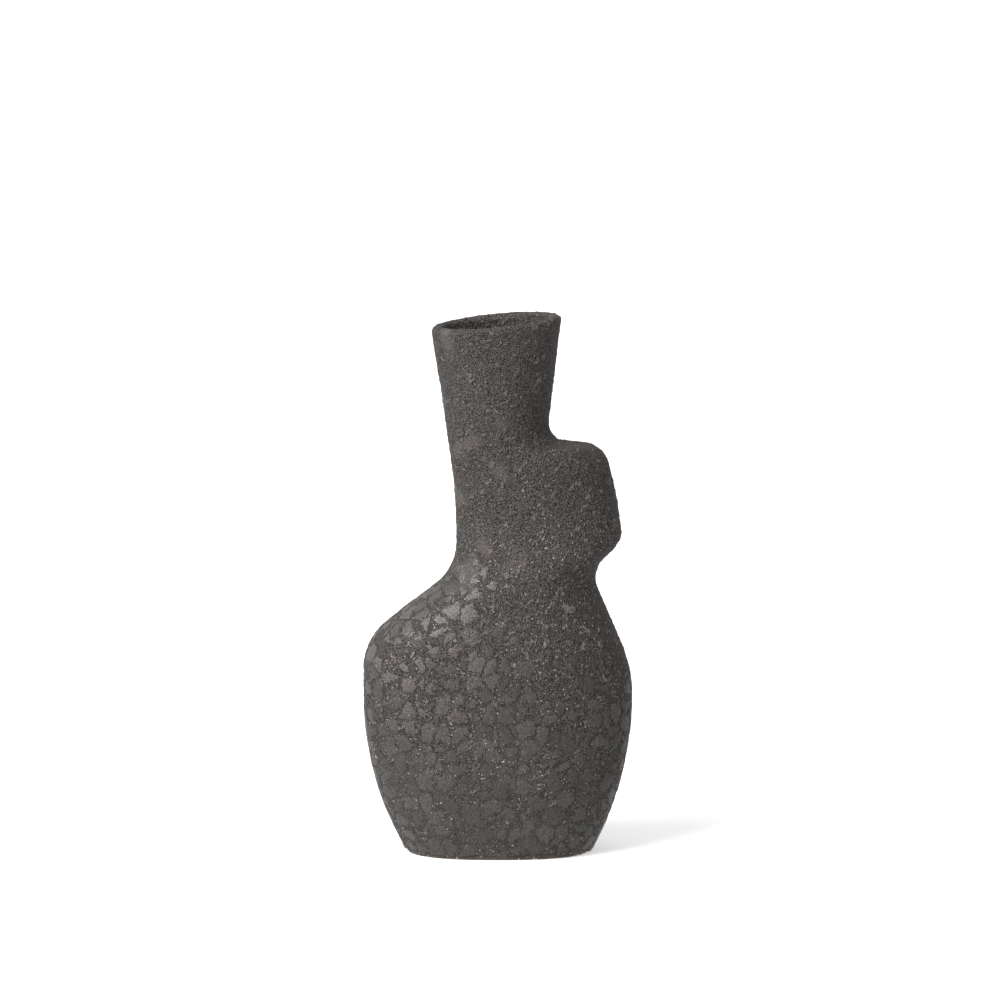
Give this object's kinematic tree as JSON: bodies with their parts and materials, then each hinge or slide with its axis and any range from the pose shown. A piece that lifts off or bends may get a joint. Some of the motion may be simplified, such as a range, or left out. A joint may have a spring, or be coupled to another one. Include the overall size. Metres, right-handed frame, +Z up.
{
  "type": "stoneware vase",
  "caption": "Hand-built stoneware vase: flattened belly, a side lobe above a narrow waist, and a flared neck with a slanting lip, under a rough dark glaze.",
  "frame": {"origin": "on the surface the vase stands on, under the middle of its bounding box", "axes": "+Z up along the vase's height, X across the flat front with the lobe on the +X side, Y from front to back through the shallow depth"},
  "size_m": [0.1488, 0.085, 0.2998],
  "materials": {
    "stoneware_clay": "matte",
    "liner_glaze": "satin",
    "gritty_glaze": "matte"
  },
  "bodies": {
    "root": {"floor_slab": "stoneware_clay", "belly_wall": "stoneware_clay", "middle_wall": "stoneware_clay", "neck_wall": "stoneware_clay", "liner_glaze": "liner_glaze", "outer_glaze": "gritty_glaze"}
  },
  "joints": []
}
